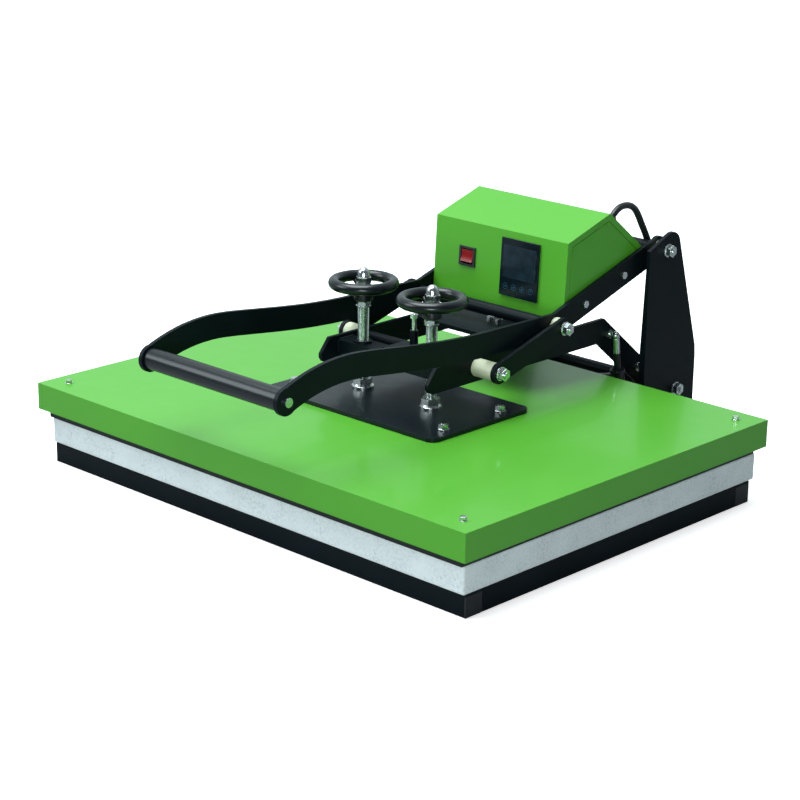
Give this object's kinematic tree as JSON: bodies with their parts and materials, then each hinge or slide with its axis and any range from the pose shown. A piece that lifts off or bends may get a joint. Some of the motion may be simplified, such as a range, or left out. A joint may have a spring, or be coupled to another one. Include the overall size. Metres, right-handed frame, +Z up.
{
  "type": "clamshell heat press",
  "caption": "Clamshell press with a hand lever, toggle links, a sprung arm with a heated upper platen on pressure screws, and a padded lower table.",
  "frame": {"origin": "on the ground under the middle of the base, on the underside of the middle cross tube", "axes": "+X to the operator's right, +Y to the back where the hinge is, +Z up; metres"},
  "size_m": [0.8276, 0.8605, 0.3645],
  "materials": {
    "black_steel": "satin black powder coat",
    "green_steel": "semi-gloss green powder coat",
    "zinc": "bright zinc plate",
    "black_plastic": "glossy black",
    "matt_black_plastic": "matt black",
    "nylon": "ivory nylon",
    "silicone": "matt light grey sponge",
    "dark_glass": "gloss black glass",
    "red_plastic": "red",
    "aluminium": "cast aluminium with a dark non-stick coat",
    "galvanised": "plain sheet",
    "element": "heat-darkened steel",
    "blanket": "woven blanket",
    "gas_spring_black": "gloss black",
    "cable_jacket": "matt black jacket"
  },
  "bodies": {
    "frame": {"base_cross_tubes": "black_steel", "base_side_tubes": "black_steel", "base_rails": "black_steel", "tube_end_plugs": "matt_black_plastic", "base_plate": "black_steel", "silicone_pad": "silicone", "upright_left": "black_steel", "upright_right": "black_steel", "frame_axles": "zinc", "frame_fasteners": "zinc", "frame_spacers": "nylon", "spring_brackets": "zinc", "cable_clip": "matt_black_plastic", "heater_cable_upper": "cable_jacket", "heater_cable_lower": "cable_jacket"},
    "lever": {"lever_left": "black_steel", "lever_right": "black_steel", "grip_tube": "black_plastic", "lever_sleeves": "black_steel", "lever_axle": "zinc", "lever_fasteners": "zinc", "lever_spacers": "nylon", "box_shell": "green_steel", "box_side_panels": "green_steel", "panel_screws": "green_steel", "box_tray": "galvanised", "controller_body": "matt_black_plastic", "controller_glass": "dark_glass", "switch_bezel": "matt_black_plastic", "control_electronics": "matt_black_plastic", "cable_gland": "matt_black_plastic"},
    "rocker": {"switch_rocker": "red_plastic"},
    "links": {"link_left": "black_steel", "link_right": "black_steel", "link_fasteners": "zinc", "link_spacers": "nylon"},
    "press_arm": {"arm_left": "black_steel", "arm_right": "black_steel", "arm_sleeves": "black_steel", "arm_crossbar": "black_steel", "arm_fasteners": "zinc", "guide_rod": "zinc"},
    "platen": {"platen_cover": "green_steel", "cover_screws": "zinc", "heated_platen": "aluminium", "heating_elements": "element", "insulation": "blanket", "mount_plate": "black_steel", "mount_fasteners": "zinc", "foot_sockets": "zinc"},
    "wheel_left": {"handwheel_left": "black_plastic", "screw_left": "zinc", "wheel_nuts_left": "zinc"},
    "wheel_right": {"handwheel_right": "black_plastic", "screw_right": "zinc", "wheel_nuts_right": "zinc"},
    "spring_tube_left": {"gas_tube_left": "gas_spring_black"},
    "spring_tube_right": {"gas_tube_right": "gas_spring_black"},
    "spring_rod_left": {"gas_rod_left": "gas_spring_black"},
    "spring_rod_right": {"gas_rod_right": "gas_spring_black"}
  },
  "joints": [
    {"name": "press_opening", "type": "hinge", "parent": "frame", "child": "press_arm", "pos_m": [0, 0.448, 0.075], "axis": [-1, 0, 0], "range_deg": [0, 30], "deforming": ["heater_cable_lower"]},
    {"name": "lever_turn", "type": "hinge", "parent": "frame", "child": "lever", "pos_m": [0, 0.413, 0.294], "axis": [-1, 0, 0], "range_deg": [0, 65.28], "deforming": ["heater_cable_upper"]},
    {"name": "link_turn", "type": "hinge", "parent": "lever", "child": "links", "pos_m": [0, 0.1815, 0.221], "axis": [-1, 0, 0], "range_deg": [-97.47, 0]},
    {"name": "spring_turn_left", "type": "hinge", "parent": "frame", "child": "spring_tube_left", "pos_m": [-0.121, 0.354, 0.045], "axis": [-1, 0, 0], "range_deg": [0, 23.6]},
    {"name": "spring_turn_right", "type": "hinge", "parent": "frame", "child": "spring_tube_right", "pos_m": [0.121, 0.354, 0.045], "axis": [-1, 0, 0], "range_deg": [0, 23.6]},
    {"name": "spring_stroke_left", "type": "slide", "parent": "spring_tube_left", "child": "spring_rod_left", "axis": [0, -0.1382, 0.9904], "range_m": [0, 0.0482]},
    {"name": "spring_stroke_right", "type": "slide", "parent": "spring_tube_right", "child": "spring_rod_right", "axis": [0, -0.1382, 0.9904], "range_m": [0, 0.0482]},
    {"name": "platen_lift", "type": "slide", "parent": "press_arm", "child": "platen", "axis": [0, 0, 1], "range_m": [0, 0.006]},
    {"name": "wheel_left_turn", "type": "hinge", "parent": "platen", "child": "wheel_left", "pos_m": [-0.066, -0.0015, 0.18], "axis": [0, 0, 1], "range_deg": [0, 1085]},
    {"name": "wheel_right_turn", "type": "hinge", "parent": "platen", "child": "wheel_right", "pos_m": [0.066, -0.0015, 0.18], "axis": [0, 0, 1], "range_deg": [0, 1085]},
    {"name": "power_switch", "type": "hinge", "parent": "lever", "child": "rocker", "pos_m": [-0.061, 0.21504, 0.28129], "axis": [1, 0, 0], "range_deg": [0, 16]}
  ],
  "couplings": [
    {"joint": "lever_turn", "follows": "press_opening", "ratio": 2.1593},
    {"joint": "link_turn", "follows": "press_opening", "ratio": -3.2323},
    {"joint": "spring_turn_left", "follows": "press_opening", "ratio": 0.76985},
    {"joint": "spring_turn_right", "follows": "press_opening", "ratio": 0.76985},
    {"joint": "spring_stroke_left", "follows": "press_opening", "m_per_rad": 0.091047},
    {"joint": "spring_stroke_right", "follows": "press_opening", "m_per_rad": 0.091047},
    {"joint": "wheel_left_turn", "follows": "platen_lift", "rad_per_m": 3141.6},
    {"joint": "wheel_right_turn", "follows": "platen_lift", "rad_per_m": 3141.6}
  ]
}
